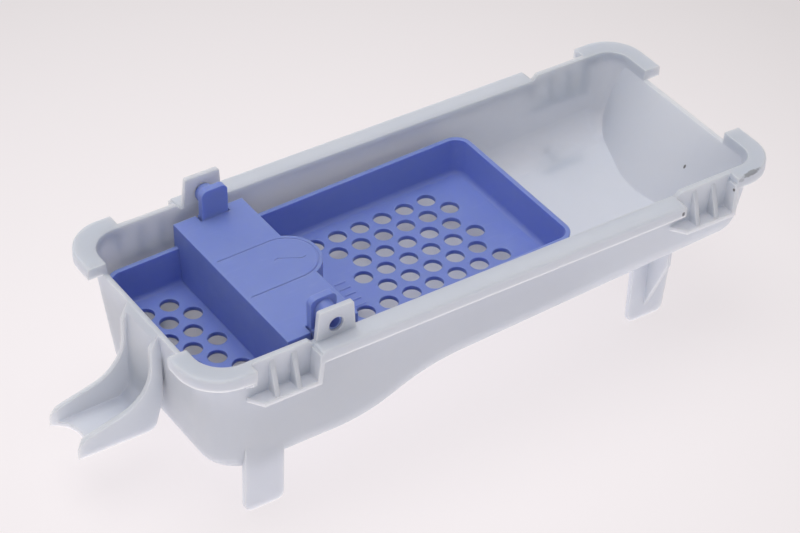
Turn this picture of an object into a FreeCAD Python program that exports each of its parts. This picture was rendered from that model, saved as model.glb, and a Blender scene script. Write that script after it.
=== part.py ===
import FreeCAD, Part
import math
import os
import Sketcher
from FreeCAD import Vector

# Detergent dispenser drawer: a white moulded trough and the blue sieve tray hinged in its two ears.
# Modelling frame: X along the trough, Y across it, Z up, rim top at Z = 0, trough middle at X = 0.
# The finished pieces are moved by the same placement, so the feet stand on Z = 0.

doc = FreeCAD.newDocument("dispenser_drawer")

SIZES = [
    ("wall", 2.0, "wall of the trough"),
    ("tub_length", 249.0, "outside of the walls at the rim"),
    ("tub_width", 94.0, "outside of the walls at the rim"),
    ("rim_end", 5.5, "caps beyond the end walls"),
    ("rim_side", 4.7, "front caps beyond the long wall"),
    ("rim_side_b", 6.1, "back caps beyond the long wall"),
    ("rim_length", "=tub_length + 2 * rim_end", "over the corner caps"),
    ("rim_width", "=tub_width + 2 * rim_side", "twice the front caps' reach from the middle"),
    ("rim_radius", 17.0, "outer plan corner of the left caps"),
    ("rim_radius_r", 16.0, "outer plan corner of the right caps"),
    ("rim_drop", 4.8, "height of rails and caps"),
    ("rail_drop", 2.0, "rail top below the caps"),
    ("rail_side", 6.1, "rails beyond the long walls"),
    ("rim_plate", 2.0, "top plate of a rail"),
    ("rim_lip", 1.7, "down-turned lip of a rail"),
    ("rim_round", 1.0, "rounding of the rim's top edge"),
    ("end_gap", 57.0, "lowered left end wall between two caps"),
    ("end_gap_r", 50.0, "lowered right end wall between two caps"),
    ("tub_radius", 14.0, "outer left wall corner at the rim"),
    ("tub_radius_r", 11.0, "outer right wall corner at the rim"),
    ("form_depth", 70.0, "depth over which the drafts are given"),
    ("draft_end", 8.7, "left end comes in by this much"),
    ("draft_end_r", 7.0, "right end comes in by this much"),
    ("draft_side", 5.0, "each side comes in by this much"),
    ("base_radius", 17.0, "outer left wall corner at the form depth"),
    ("tub_depth", 57.5, "rim top to the underside of the sump"),
    ("sump_in", 18.5, "start of the flat sump floor, from the left end"),
    ("sump_x", "=tub_length / 2 - sump_in", "start of the flat sump floor, left of the middle"),
    ("sump_run", 38.0, "length of the flat sump floor"),
    ("sump_arc", 22.0, "rounding of the sump's left end"),
    ("step_arc", 65.0, "radius of both bends of the step"),
    ("floor_depth", 42.8, "rim top to the underside of the shallow floor at the middle"),
    ("floor_fall", 3.1, "fall of the shallow floor, degrees"),
    ("tub_round", 13.0, "rounding under the walls"),
    ("corner_spare", 0.3, "right wall corner at the floor, wider than that rounding"),
    ("end_depth", "=floor_depth - tub_length / 2 * tan(floor_fall * 1 deg)", "underside at the right end"),
    ("corner_grow", "=(tub_round + corner_spare - tub_radius_r) * form_depth / end_depth",
     "right wall corner wider by this much at the form depth"),
    ("base_radius_r", "=tub_radius_r + corner_grow", "outer right wall corner at the form depth"),
    ("bulge_in", 44.5, "inward bulge of the right end at the form depth"),
    ("bulge_fan", 39.0, "slant of the bulge's two flanks at the form depth, degrees"),
    ("bulge_nose", 22.0, "rounding between the flanks at the form depth"),
    ("bulge_side", 6.0, "bulge ends this far inside the long walls"),
    ("bulge_half", "=tub_width / 2 - bulge_side", "half width of the bulge"),
    ("bulge_skew", 1.15, "wall along X over wall across the leaning end"),
    ("clip_in", 42.9, "inner end of the clip pockets, from the ends"),
    ("clip_x", "=tub_length / 2 - clip_in", "inner end of the clip pockets, from the middle"),
    ("clip_run", 25.9, "length of a clip pocket"),
    ("clip_drop", 17.6, "rim top to the underside of the clip ledge"),
    ("clip_plate", 1.8, "thickness of ledge, cheek and ribs"),
    ("clip_start", 3.0, "open gap at the ledge's left end"),
    ("clip_rib_a", 8.7, "first rib from the pocket's left end"),
    ("clip_rib_b", 17.7, "second rib from the pocket's left end"),
    ("ear_in", 52.3, "hinge line, from the left end"),
    ("ear_x", "=tub_length / 2 - ear_in", "hinge line, left of the middle"),
    ("ear_z", 2.9, "hinge line above the rim"),
    ("ear_width", 14.4, "width of an ear at its top"),
    ("ear_flare", 1.2, "ear wider at each side of its foot"),
    ("ear_top", 10.3, "ear top above the rim"),
    ("ear_round", 0.9, "rounding of the ear's top corners"),
    ("ear_bore", 6.1, "hole in each ear"),
    ("foot_depth", 73.0, "rim top to the soles of the feet"),
    ("foot_plate", 2.2, "thickness of a foot"),
    ("foot_round", 3.0, "rounded sole corners"),
    ("foot_l_end", 16.7, "left feet, left edge from the left end"),
    ("foot_l_x", "=tub_length / 2 - foot_l_end", "left feet, left edge from the middle"),
    ("foot_l_run", 16.5, "left feet, width"),
    ("foot_l_in", 3.3, "left feet, outer face inside the long wall"),
    ("foot_l_y", "=tub_width / 2 - foot_l_in", "left feet, outer face from the middle"),
    ("foot_r_end", 46.5, "right feet, left edge from the right end"),
    ("foot_r_x", "=tub_length / 2 - foot_r_end", "right feet, left edge from the middle"),
    ("foot_r_run", 16.8, "right feet, width at the sole"),
    ("foot_r_flare", 3.5, "right feet, wider at the top by this"),
    ("foot_r_in", 16.4, "right feet, outer face inside the long wall"),
    ("foot_r_y", "=tub_width / 2 - foot_r_in", "right feet, outer face from the middle"),
    ("foot_web", 11.0, "reach of the web in front of a right foot"),
    ("foot_web_end", 6.0, "web tip above the sole"),
    ("spout_width", 22.0, "over both cheeks of the spout"),
    ("spout_plate", 1.9, "thickness of cheeks and floor"),
    ("spout_rear", 2.9, "thickness of the back"),
    ("spout_set", 2.1, "back face of the spout inside the end wall"),
    ("spout_back", "=tub_length / 2 - spout_set", "back face of the spout, left of the middle"),
    ("spout_rib", 1.6, "cheek reach near the rim"),
    ("spout_crest", 6.2, "fall of the cheek's top edge"),
    ("spout_lean", 14.5, "lower part of the back leans away from the wall, degrees"),
    ("spout_arc", 17.0, "bend of the cheek's front edge"),
    ("spout_arc_z", 20.0, "depth of the bend's centre"),
    ("spout_slope", 15.0, "fall of the cheek's front edge, degrees"),
    ("spout_reach", 35.0, "spout tip beyond its back face"),
    ("spout_tip", "=spout_back + spout_reach", "spout tip, left of the middle"),
    ("spout_nose", 6.0, "rounding of the tip"),
    ("spout_heel", 4.0, "rounded heel under the back"),
    ("spout_low", 48.6, "underside of the spout below the rim"),
    ("spout_fall", 2.0, "fall of the channel floor, degrees"),
    ("spout_bay", 11.3, "radius of the hollow between the two tips"),
    ("spout_fork", 6.9, "depth of that hollow behind the tip"),
    ("spout_bay_x", "=spout_tip - spout_fork", "deepest point of that hollow, left of the middle"),
    ("spout_fillet", 6.0, "bend between channel back and floor"),
    ("skin", 1.8, "wall of the sieve tray"),
    ("tilt", 1.7, "tray stands this far up at its right end, degrees"),
    ("tray_end", 4.2, "tray's left end, from the trough's left end"),
    ("tray_left", "=tub_length / 2 - tray_end", "tray's left end, left of the middle"),
    ("tray_length", 161.5, "along the tray's rim"),
    ("tray_right", "=tray_length - tray_left", "tray's right end, right of the middle"),
    ("tray_side", 6.6, "tray rim to the long wall"),
    ("tray_width", "=tub_width - 2 * (wall + tray_side)", "over the tray's rim"),
    ("tray_rim", 12.2, "tray rim below the trough rim"),
    ("tray_deep", 15.0, "tray rim to the sieve floor"),
    ("tray_draft", 1.5, "tray walls come in by this much"),
    ("tray_radius", 7.0, "outer plan corner of the tray"),
    ("tray_cove", 2.0, "rounding between tray floor and walls"),
    ("bridge_out", 15.9, "left face of the bridge, from the hinge line"),
    ("bridge_left", "=ear_x + bridge_out", "left face of the bridge, left of the middle"),
    ("bridge_run", 29.7, "bridge along the trough"),
    ("bridge_right", "=bridge_left - bridge_run", "right face of the bridge, left of the middle"),
    ("bridge_side", 5.1, "bridge end to the long wall"),
    ("bridge_width", "=tub_width - 2 * (wall + bridge_side)", "length of the bridge across the trough"),
    ("bridge_top", 3.1, "bridge top below the trough rim"),
    ("dome_in", 5.3, "centre of the round front behind the bridge's right face"),
    ("dome_x", "=bridge_right + dome_in", "centre of the round front, left of the middle"),
    ("dome_radius", 13.4, "radius of the round front"),
    ("mark_inset", 1.1, "marked outline inside the round front"),
    ("mark_width", 0.6, "width of the marked lines"),
    ("mark_depth", 0.25, "depth of the marked lines"),
    ("wave_run", 11.6, "length of the wave mark"),
    ("tab_width", 11.0, "width of a spring tab"),
    ("tab_plate", 2.8, "thickness of a spring tab"),
    ("tab_in", 1.2, "tab face behind the bridge end"),
    ("tab_top", 9.7, "tab top above the trough rim"),
    ("tab_round", 2.6, "rounded tab corners"),
    ("slit_width", 0.8, "slit at each side of a tab"),
    ("slit_deep", 8.0, "depth of the slits below the bridge top"),
    ("pad_width", 8.0, "pad on the tab's outer face"),
    ("pad_top", 8.4, "pad top above the trough rim"),
    ("pad_ring", 0.5, "pad wider than the hole where it meets the ear, radial"),
    ("pad_gap", 0.5, "pad to ear"),
    ("peg_gap", 0.06, "running clearance of peg in hole, radial"),
    ("peg_short", 1.2, "peg end behind the ear's outer face"),
    ("peg_core", 5.0, "depth of the cored peg"),
    ("peg_wall", 0.7, "wall of the cored peg"),
    ("hole_bore", 7.3, "sieve hole"),
    ("hole_dx", 10.3, "sieve pitch along X"),
    ("hole_dy", 8.65, "sieve pitch along Y"),
    ("hole_in_r", 33.7, "first even column right of the bridge, from its right face"),
    ("hole_right", "=bridge_right - hole_in_r", "the same column, left of the middle"),
    ("hole_in_l", 21.2, "even column in the small compartment, from the tray's left end"),
    ("hole_left", "=tray_left - hole_in_l", "the same column, left of the middle"),
]

sheet = doc.addObject("Spreadsheet::Sheet", "sizes")
for row, (name, value, note) in enumerate(SIZES, start=1):
    sheet.set("A%d" % row, note)
    sheet.set("B%d" % row, str(value))
    sheet.setAlias("B%d" % row, name)
doc.recompute()
NAMES = {name for name, value, note in SIZES}


def val(text):
    """Evaluate a size expression of the sheet, to place sketch geometry before it is constrained."""
    return float(sheet.evalExpression(expr(text)))


def expr(text):
    """Write size names as sheet references."""
    out = []
    word = ""
    for ch in text + " ":
        if ch.isalnum() or ch == "_":
            word += ch
            continue
        out.append("sizes." + word if word in NAMES else word)
        word = ""
        out.append(ch)
    return "".join(out).strip()


def bind(obj, prop, text):
    obj.setExpression(prop, expr(text))


def new_body(name):
    return doc.addObject("PartDesign::Body", name)


def origin_plane(body, role):
    for feature in body.Origin.OriginFeatures:
        if feature.Role == role:
            return feature
    raise RuntimeError("no plane " + role)


def new_sketch(body, name, role, offset="0"):
    """Sketch on an origin plane of the body; offset runs along the plane's normal."""
    sketch = body.newObject("Sketcher::SketchObject", name)
    sketch.AttachmentSupport = [(origin_plane(body, role), "")]
    sketch.MapMode = "FlatFace"
    if offset != "0":
        bind(sketch, "AttachmentOffset.Base.z", offset)
        doc.recompute()
    return sketch


def fix(sketch, kind, args, text):
    """Add a dimension whose value is a size expression."""
    value = val(text)
    if kind == "Angle":
        index = sketch.addConstraint(Sketcher.Constraint(kind, *args, math.radians(value)))
        sketch.setExpression("Constraints[%d]" % index, expr(text) + " * 1 deg")
        return index
    index = sketch.addConstraint(Sketcher.Constraint(kind, *args, value))
    sketch.setExpression("Constraints[%d]" % index, expr(text))
    return index


def at(sketch, geo, pos, x_text, y_text):
    """Fix a point of the sketch by its distances from the sketch origin."""
    for kind, text in (("DistanceX", x_text), ("DistanceY", y_text)):
        if text is None:
            continue
        if abs(val(text)) < 1e-9:
            ref = -2 if kind == "DistanceX" else -1
            sketch.addConstraint(Sketcher.Constraint("PointOnObject", geo, pos, ref))
            continue
        fix(sketch, kind, (-1, 1, geo, pos), text)


def line(sketch, p, q):
    return sketch.addGeometry(Part.LineSegment(Vector(p[0], p[1], 0), Vector(q[0], q[1], 0)), False)


def arc(sketch, centre, radius, start, end):
    """Arc in degrees, counter-clockwise from start to end."""
    circle = Part.Circle(Vector(centre[0], centre[1], 0), Vector(0, 0, 1), radius)
    return sketch.addGeometry(Part.ArcOfCircle(circle, math.radians(start), math.radians(end)), False)


def join(sketch, a, pa, b, pb, smooth=False):
    sketch.addConstraint(Sketcher.Constraint("Tangent" if smooth else "Coincident", a, pa, b, pb))


def rounded_box(sketch, x0, x1, y0, y1, radius, radius_r=None):
    """Rounded rectangle from size expressions; radius_r is for the corners at x1."""
    radius_r = radius_r or radius
    a, b, c, d, r, s = val(x0), val(x1), val(y0), val(y1), val(radius), val(radius_r)
    ids = [line(sketch, (a + r, c), (b - s, c)), arc(sketch, (b - s, c + s), s, 270, 360),
           line(sketch, (b, c + s), (b, d - s)), arc(sketch, (b - s, d - s), s, 0, 90),
           line(sketch, (b - s, d), (a + r, d)), arc(sketch, (a + r, d - r), r, 90, 180),
           line(sketch, (a, d - r), (a, c + r)), arc(sketch, (a + r, c + r), r, 180, 270)]
    for k in range(8):
        join(sketch, ids[k], 2, ids[(k + 1) % 8], 1, True)
    for k, kind in ((0, "Horizontal"), (2, "Vertical"), (4, "Horizontal"), (6, "Vertical")):
        sketch.addConstraint(Sketcher.Constraint(kind, ids[k]))
    fix(sketch, "Radius", (ids[1],), radius_r)
    fix(sketch, "Radius", (ids[5],), radius)
    sketch.addConstraint(Sketcher.Constraint("Equal", ids[1], ids[3]))
    sketch.addConstraint(Sketcher.Constraint("Equal", ids[5], ids[7]))
    at(sketch, ids[2], 1, x1, None)
    at(sketch, ids[6], 1, x0, None)
    at(sketch, ids[4], 1, None, y1)
    at(sketch, ids[0], 1, None, y0)
    return ids


def outline(sketch, points):
    """Closed polygon, every corner fixed by size expressions."""
    xy = [(val(x), val(y)) for x, y in points]
    ids = [line(sketch, xy[k], xy[(k + 1) % len(xy)]) for k in range(len(xy))]
    for k in range(len(xy)):
        join(sketch, ids[k], 2, ids[(k + 1) % len(xy)], 1)
    for k, (x, y) in enumerate(points):
        at(sketch, ids[k], 1, x, y)
    return ids


def box_outline(sketch, x0, x1, y0, y1):
    return outline(sketch, [(x0, y0), (x1, y0), (x1, y1), (x0, y1)])


def pad(body, name, sketch, length, reverse=False, both=False):
    feature = body.newObject("PartDesign::Pad", name)
    feature.Profile = sketch
    bind(feature, "Length", length)
    feature.Reversed = reverse
    feature.SideType = "Symmetric" if both else "One side"
    doc.recompute()
    return feature


def pocket(body, name, sketch, length=None, reverse=False, both=False):
    """Cut; without a length it goes through all. The cut has to remove material."""
    before = body.Tip.Shape.Volume
    feature = body.newObject("PartDesign::Pocket", name)
    feature.Profile = sketch
    if length is None:
        feature.Type = "ThroughAll"
    else:
        bind(feature, "Length", length)
    feature.Reversed = reverse
    feature.SideType = "Symmetric" if both else "One side"
    doc.recompute()
    if not feature.Shape.Volume < before - 1e-3:
        raise RuntimeError(name + " removes nothing")
    return feature


def round_edges(body, name, base, edges, radius):
    feature = body.newObject("PartDesign::Fillet", name)
    feature.Base = (base, edges)
    bind(feature, "Radius", radius)
    doc.recompute()
    return feature


def edge_names(shape, wanted):
    return ["Edge%d" % (k + 1) for k, edge in enumerate(shape.Edges) if wanted(edge)]


def mirrored(name, source):
    """Copy on the other side of the XZ plane."""
    feature = doc.addObject("Part::Mirroring", name)
    feature.Source = source
    feature.Base = Vector(0, 0, 0)
    feature.Normal = Vector(0, 1, 0)
    return feature


def fuse(name, shapes):
    feature = doc.addObject("Part::MultiFuse", name)
    feature.Shapes = shapes
    return feature


def cut(name, base, tool):
    feature = doc.addObject("Part::Cut", name)
    feature.Base = base
    feature.Tool = tool
    return feature


def step_angle(inset):
    """Steepest angle of the step between sump and shallow floor, found by halving."""
    r_low = val("step_arc") - inset
    r_high = val("step_arc") + inset
    fall = math.radians(val("floor_fall"))
    xc = val("sump_run") - val("sump_x")
    zc = val("step_arc") - val("tub_depth")
    depth = val("floor_depth") - inset / math.cos(fall)

    def miss(angle):
        x = xc + (r_low + r_high) * math.sin(angle)
        z = zc - (r_low + r_high) * math.cos(angle)
        return (z + depth - math.tan(fall) * x) * math.cos(fall) + r_high

    low, high = fall, math.radians(80)
    for _ in range(60):
        mid = (low + high) / 2
        if miss(mid) > 0:
            high = mid
        else:
            low = mid
    return (low + high) / 2


def make_form(name, inset_text):
    """Drafted tub form, cut along the sump, step and shallow floor, then rounded below."""
    inset = val(inset_text)
    body = new_body(name)
    top = new_sketch(body, name + "_top", "XY_Plane")
    half_x = "tub_length / 2 - " + inset_text
    half_y = "tub_width / 2 - " + inset_text
    rounded_box(top, "-(%s)" % half_x, half_x, "-(%s)" % half_y, half_y, "tub_radius - " + inset_text,
                "tub_radius_r - " + inset_text)
    low = new_sketch(body, name + "_low", "XY_Plane", "-form_depth")
    low_y = half_y + " - draft_side"
    rounded_box(low, "draft_end - (%s)" % half_x, half_x + " - draft_end_r", "-(%s)" % low_y, low_y,
                "base_radius - " + inset_text, "base_radius_r - " + inset_text)
    loft = body.newObject("PartDesign::AdditiveLoft", name + "_walls")
    loft.Profile = top
    loft.Sections = [low]
    loft.Ruled = True
    doc.recompute()

    side = new_sketch(body, name + "_side", "XZ_Plane")
    fall = math.radians(val("floor_fall"))
    phi = step_angle(inset)
    xa, za = -val("sump_x"), val("sump_arc") - val("tub_depth")
    ra = val("sump_arc") - inset
    xb, zb = xa + val("sump_run"), val("step_arc") - val("tub_depth")
    rb, rc = val("step_arc") - inset, val("step_arc") + inset
    xc, zc = xb + (rb + rc) * math.sin(phi), zb - (rb + rc) * math.cos(phi)
    xd, zd = xc - rc * math.sin(fall), zc + rc * math.cos(fall)
    far = val("tub_length")
    deep = -2 * val("form_depth")
    ze = zd + (far - xd) * math.tan(fall)
    end = line(side, (-far, za), (xa - ra, za))
    left = arc(side, (xa, za), ra, 180, 270)
    base = line(side, (xa, za - ra), (xb, zb - rb))
    rise = arc(side, (xb, zb), rb, 270, 270 + math.degrees(phi))
    crest = arc(side, (xc, zc), rc, 90 + math.degrees(fall), 90 + math.degrees(phi))
    floor = line(side, (xd, zd), (far, ze))
    down = line(side, (far, ze), (far, deep))
    under = line(side, (far, deep), (-far, deep))
    up = line(side, (-far, deep), (-far, za))
    join(side, end, 2, left, 1)
    join(side, left, 2, base, 1, True)
    join(side, base, 2, rise, 1, True)
    join(side, rise, 2, crest, 2, True)
    join(side, crest, 1, floor, 1, True)
    join(side, floor, 2, down, 1)
    join(side, down, 2, under, 1)
    join(side, under, 2, up, 1)
    join(side, up, 2, end, 1)
    for geo, kind in ((end, "Horizontal"), (base, "Horizontal"), (down, "Vertical"), (under, "Horizontal"),
                      (up, "Vertical")):
        side.addConstraint(Sketcher.Constraint(kind, geo))
    at(side, left, 3, "-sump_x", "sump_arc - tub_depth")
    fix(side, "Radius", (left,), "sump_arc - " + inset_text)
    side.addConstraint(Sketcher.Constraint("Horizontal", left, 1, left, 3))
    at(side, rise, 3, "sump_run - sump_x", None)
    fix(side, "Radius", (rise,), "step_arc - " + inset_text)
    fix(side, "Radius", (crest,), "step_arc + " + inset_text)
    fix(side, "Angle", (-1, 1, floor, 1), "floor_fall")
    rise_text = "tub_length * tan(floor_fall * 1 deg) - floor_depth"
    at(side, down, 1, "tub_length", rise_text + " + (%s) / cos(floor_fall * 1 deg)" % inset_text)
    at(side, down, 2, None, "-2 * form_depth")
    at(side, up, 1, "-tub_length", None)
    doc.recompute()
    cut_low = pocket(body, name + "_under", side, None, False, True)

    def rim_edge(edge):
        if any(abs(v.Z) < 1e-3 for v in edge.Vertexes):
            return False
        across = all(abs(v.X - edge.Vertexes[0].X) < 1e-3 for v in edge.Vertexes)
        return not across or abs(edge.CenterOfMass.x) > val("tub_length") * 0.42

    edges = edge_names(cut_low.Shape, rim_edge)
    round_edges(body, name + "_round", cut_low, edges, "tub_round - " + inset_text)
    return body


def make_recess(name, shift):
    """Space behind the bulged right end: straight at the rim, two slanting flanks further down."""
    body = new_body(name)
    x0 = "tub_length / 2 - wall - draft_end_r * rim_drop / form_depth + " + shift
    far = "tub_length"
    half = "bulge_half"
    part = "bulge_nose * sin(bulge_fan * 1 deg)"
    top = new_sketch(body, name + "_top", "XY_Plane", "-rim_drop")
    outline(top, [(x0, "-" + half), (x0, "-" + part), (x0, part), (x0, half), (far, half), (far, "-" + half)])
    low = new_sketch(body, name + "_low", "XY_Plane", "-form_depth")
    fan, nose = math.radians(val("bulge_fan")), val("bulge_nose")
    apex = val(x0 + " - bulge_in")
    xt, yt = apex + nose * (1 - math.cos(fan)), nose * math.sin(fan)
    xe = xt + (val(half) - yt) * math.tan(fan)
    front = line(low, (xe, -val(half)), (xt, -yt))
    tip = arc(low, (apex + nose, 0), nose, 180 - val("bulge_fan"), 180 + val("bulge_fan"))
    back = line(low, (xt, yt), (xe, val(half)))
    side_b = line(low, (xe, val(half)), (val(far), val(half)))
    end = line(low, (val(far), val(half)), (val(far), -val(half)))
    side_f = line(low, (val(far), -val(half)), (xe, -val(half)))
    join(low, front, 2, tip, 2, True)
    join(low, tip, 1, back, 1, True)
    join(low, back, 2, side_b, 1)
    join(low, side_b, 2, end, 1)
    join(low, end, 2, side_f, 1)
    join(low, side_f, 2, front, 1)
    low.addConstraint(Sketcher.Constraint("Horizontal", side_b))
    low.addConstraint(Sketcher.Constraint("Horizontal", side_f))
    low.addConstraint(Sketcher.Constraint("Vertical", end))
    fix(low, "Radius", (tip,), "bulge_nose")
    at(low, tip, 3, x0 + " - bulge_in + bulge_nose", "0")
    wing = x0 + " - bulge_in + bulge_nose * (1 - 1 / cos(bulge_fan * 1 deg))"
    wing += " + bulge_half * tan(bulge_fan * 1 deg)"
    at(low, back, 2, wing, half)
    at(low, front, 1, wing, "-" + half)
    at(low, end, 1, far, None)
    loft = body.newObject("PartDesign::AdditiveLoft", name + "_loft")
    loft.Profile = top
    loft.Sections = [low]
    loft.Ruled = True
    doc.recompute()
    return body


def make_rim():
    """Corner caps, still a full plate inside the walls."""
    body = new_body("rim_form")
    plan = new_sketch(body, "rim_plan", "XY_Plane")
    rounded_box(plan, "-rim_length / 2", "rim_length / 2", "-rim_width / 2", "tub_width / 2 + rim_side_b",
                "rim_radius", "rim_radius_r")
    plate = pad(body, "rim_plate_pad", plan, "rim_drop", True)
    tops = edge_names(plate.Shape, lambda edge: all(abs(v.Z) < 1e-3 for v in edge.Vertexes))
    round_edges(body, "rim_edge", plate, tops, "rim_round")
    gaps = new_sketch(body, "rim_gaps", "XY_Plane")
    for y0, y1 in (("tub_width / 2 - wall / 2", "rim_width"), ("-rim_width", "wall / 2 - tub_width / 2")):
        box_outline(gaps, "-clip_x - clip_run", "clip_x + clip_run", y0, y1)
    pocket(body, "rim_gap_cut", gaps, None, False, True)
    return body


def make_rail():
    """Front slide rail between the clip pockets: a plate with a lip turned down."""
    body = new_body("rail_front")
    edge = "-tub_width / 2 - rail_side"
    plan = new_sketch(body, "rail_plan", "XY_Plane", "-rail_drop")
    box_outline(plan, "-clip_x", "clip_x", edge, "wall / 2 - tub_width / 2")
    plate = pad(body, "rail_pad", plan, "rim_drop", True)
    top, out = -val("rail_drop"), -val("tub_width / 2")

    def outer_top(edge):
        return all(abs(v.Z - top) < 1e-3 for v in edge.Vertexes) and edge.CenterOfMass.y < out

    round_edges(body, "rail_edge", plate, edge_names(plate.Shape, outer_top), "rim_round")
    groove = new_sketch(body, "rail_groove", "XY_Plane", "-rail_drop - rim_drop")
    box_outline(groove, "rim_lip - clip_x", "clip_x - rim_lip", edge + " + rim_lip", "-tub_width / 2")
    pocket(body, "rail_groove_cut", groove, "rim_drop - rim_plate", True)
    return body


def make_rail_space():
    """Space above the lowered walls along the rails, with slanting ends."""
    body = new_body("rail_space")
    side = new_sketch(body, "rail_space_side", "XZ_Plane")
    outline(side, [("-clip_x", "-rail_drop"), ("clip_x", "-rail_drop"),
                   ("clip_x + rail_drop * 2", "rail_drop"), ("-clip_x - rail_drop * 2", "rail_drop")])
    pad(body, "rail_space_pad", side, "rim_width * 2", False, True)
    return body


def make_spout():
    """Overflow chute on the left end wall: back and floor between two cheeks with a forked tip.

    The cheeks start at the lowered end wall, and their top is cut level with it.
    """
    body = new_body("spout_form")
    cheek = new_sketch(body, "spout_cheek", "XZ_Plane")
    slope = math.radians(val("spout_slope"))
    x_front = -val("spout_back + spout_rear + spout_rib")
    top, low = val("rim_drop * 0.75"), -val("spout_low")
    r, xa, za = val("spout_arc"), x_front - val("spout_arc"), -val("spout_arc_z")
    n = val("spout_nose")
    p = (xa + r * math.sin(slope), za - r * math.cos(slope))
    xn = n - val("spout_tip")
    t = (p[0] + n * math.sin(slope) - xn) / math.cos(slope)
    q = (p[0] - t * math.cos(slope), p[1] - t * math.sin(slope))
    zn = q[1] - n * math.cos(slope)
    heel = val("spout_heel")
    lean = math.radians(val("spout_lean"))
    xb = -val("spout_back")
    xw = xb + val("wall + 1")
    zj = -val("form_depth / 2")
    zs = low + heel - heel * math.sin(lean)
    xs = xb - (zj - zs) * math.tan(lean)
    xh = xs - heel * math.cos(lean)
    crest = -val("rim_drop + spout_crest")
    zl = -val("rim_drop * 2")
    front = line(cheek, (x_front, crest), (x_front, za))
    bend = arc(cheek, (xa, za), r, 270 + val("spout_slope"), 360)
    fall = line(cheek, p, q)
    nose = arc(cheek, (xn, zn), n, 90 + val("spout_slope"), 180)
    tip = line(cheek, (xn - n, zn), (xn - n, low))
    under = line(cheek, (xn - n, low), (xh, low))
    curl = arc(cheek, (xh, low + heel), heel, 270, 360 - val("spout_lean"))
    back = line(cheek, (xs, zs), (xb, zj))
    rear = line(cheek, (xb, zj), (xb, zl))
    ledge = line(cheek, (xb, zl), (xw, zl))
    root = line(cheek, (xw, zl), (xw, top))
    lid = line(cheek, (xw, top), (x_front, crest))
    join(cheek, front, 2, bend, 2, True)
    join(cheek, bend, 1, fall, 1, True)
    join(cheek, fall, 2, nose, 1, True)
    join(cheek, nose, 2, tip, 1, True)
    join(cheek, tip, 2, under, 1)
    join(cheek, under, 2, curl, 1, True)
    join(cheek, curl, 2, back, 1, True)
    join(cheek, back, 2, rear, 1)
    join(cheek, rear, 2, ledge, 1)
    join(cheek, ledge, 2, root, 1)
    join(cheek, root, 2, lid, 1)
    join(cheek, lid, 2, front, 1)
    for geo in (front, tip, rear, root):
        cheek.addConstraint(Sketcher.Constraint("Vertical", geo))
    for geo in (under, ledge):
        cheek.addConstraint(Sketcher.Constraint("Horizontal", geo))
    at(cheek, front, 1, "-(spout_back + spout_rear + spout_rib)", "-rim_drop - spout_crest")
    at(cheek, root, 2, None, "rim_drop * 0.75")
    drop = "(spout_low - form_depth / 2 - spout_heel * (1 - sin(spout_lean * 1 deg)))"
    lean_in = drop + " * tan(spout_lean * 1 deg) + spout_heel * cos(spout_lean * 1 deg)"
    at(cheek, curl, 3, "-spout_back - (%s)" % lean_in, None)
    at(cheek, bend, 3, None, "-spout_arc_z")
    fix(cheek, "Radius", (bend,), "spout_arc")
    fix(cheek, "Angle", (-1, 1, fall, 2), "spout_slope")
    fix(cheek, "Radius", (nose,), "spout_nose")
    at(cheek, tip, 2, "-spout_tip", "-spout_low")
    fix(cheek, "Radius", (curl,), "spout_heel")
    at(cheek, rear, 1, "-spout_back", "-form_depth / 2")
    at(cheek, ledge, 2, "wall + 1 - spout_back", "-rim_drop * 2")
    pad(body, "spout_block", cheek, "spout_width", False, True)

    channel = new_sketch(body, "spout_channel", "XZ_Plane")
    f = val("spout_fillet")
    down = math.radians(val("spout_fall"))
    xc = -val("spout_back + spout_rear")
    far = -val("spout_tip * 1.2")
    z_far = -val("spout_low - spout_plate") - (val("spout_tip * 1.2") - val("spout_tip")) * math.tan(down)
    xf = xc - f
    z_line = z_far + (xf - far) * math.tan(down)
    zf = z_line + f / math.cos(down)
    foot = (xf + f * math.sin(down), zf - f * math.cos(down))
    wall_line = line(channel, (xc, 0), (xc, zf))
    cove = arc(channel, (xf, zf), f, 270 + val("spout_fall"), 360)
    floor = line(channel, foot, (far, z_far))
    out = line(channel, (far, z_far), (far, 0))
    over = line(channel, (far, 0), (xc, 0))
    join(channel, wall_line, 2, cove, 2, True)
    join(channel, cove, 1, floor, 1, True)
    join(channel, floor, 2, out, 1)
    join(channel, out, 2, over, 1)
    join(channel, over, 2, wall_line, 1)
    channel.addConstraint(Sketcher.Constraint("Vertical", wall_line))
    channel.addConstraint(Sketcher.Constraint("Vertical", out))
    at(channel, wall_line, 1, "-(spout_back + spout_rear)", "0")
    at(channel, over, 1, None, "0")
    fix(channel, "Radius", (cove,), "spout_fillet")
    at(channel, out, 1, "-spout_tip * 1.2",
       "spout_plate - spout_low - spout_tip * 0.2 * tan(spout_fall * 1 deg)")
    fix(channel, "Angle", (-1, 1, floor, 2), "spout_fall")
    pocket(body, "spout_channel_cut", channel, "spout_width - 2 * spout_plate", False, True)

    bay = new_sketch(body, "spout_bay_plan", "XY_Plane")
    ring = bay.addGeometry(Part.Circle(Vector(-val("spout_bay_x + spout_bay"), 0, 0), Vector(0, 0, 1),
                                       val("spout_bay")), False)
    at(bay, ring, 3, "-(spout_bay_x + spout_bay)", "0")
    fix(bay, "Radius", (ring,), "spout_bay")
    pocket(body, "spout_bay_cut", bay, None, False, True)
    return body


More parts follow.
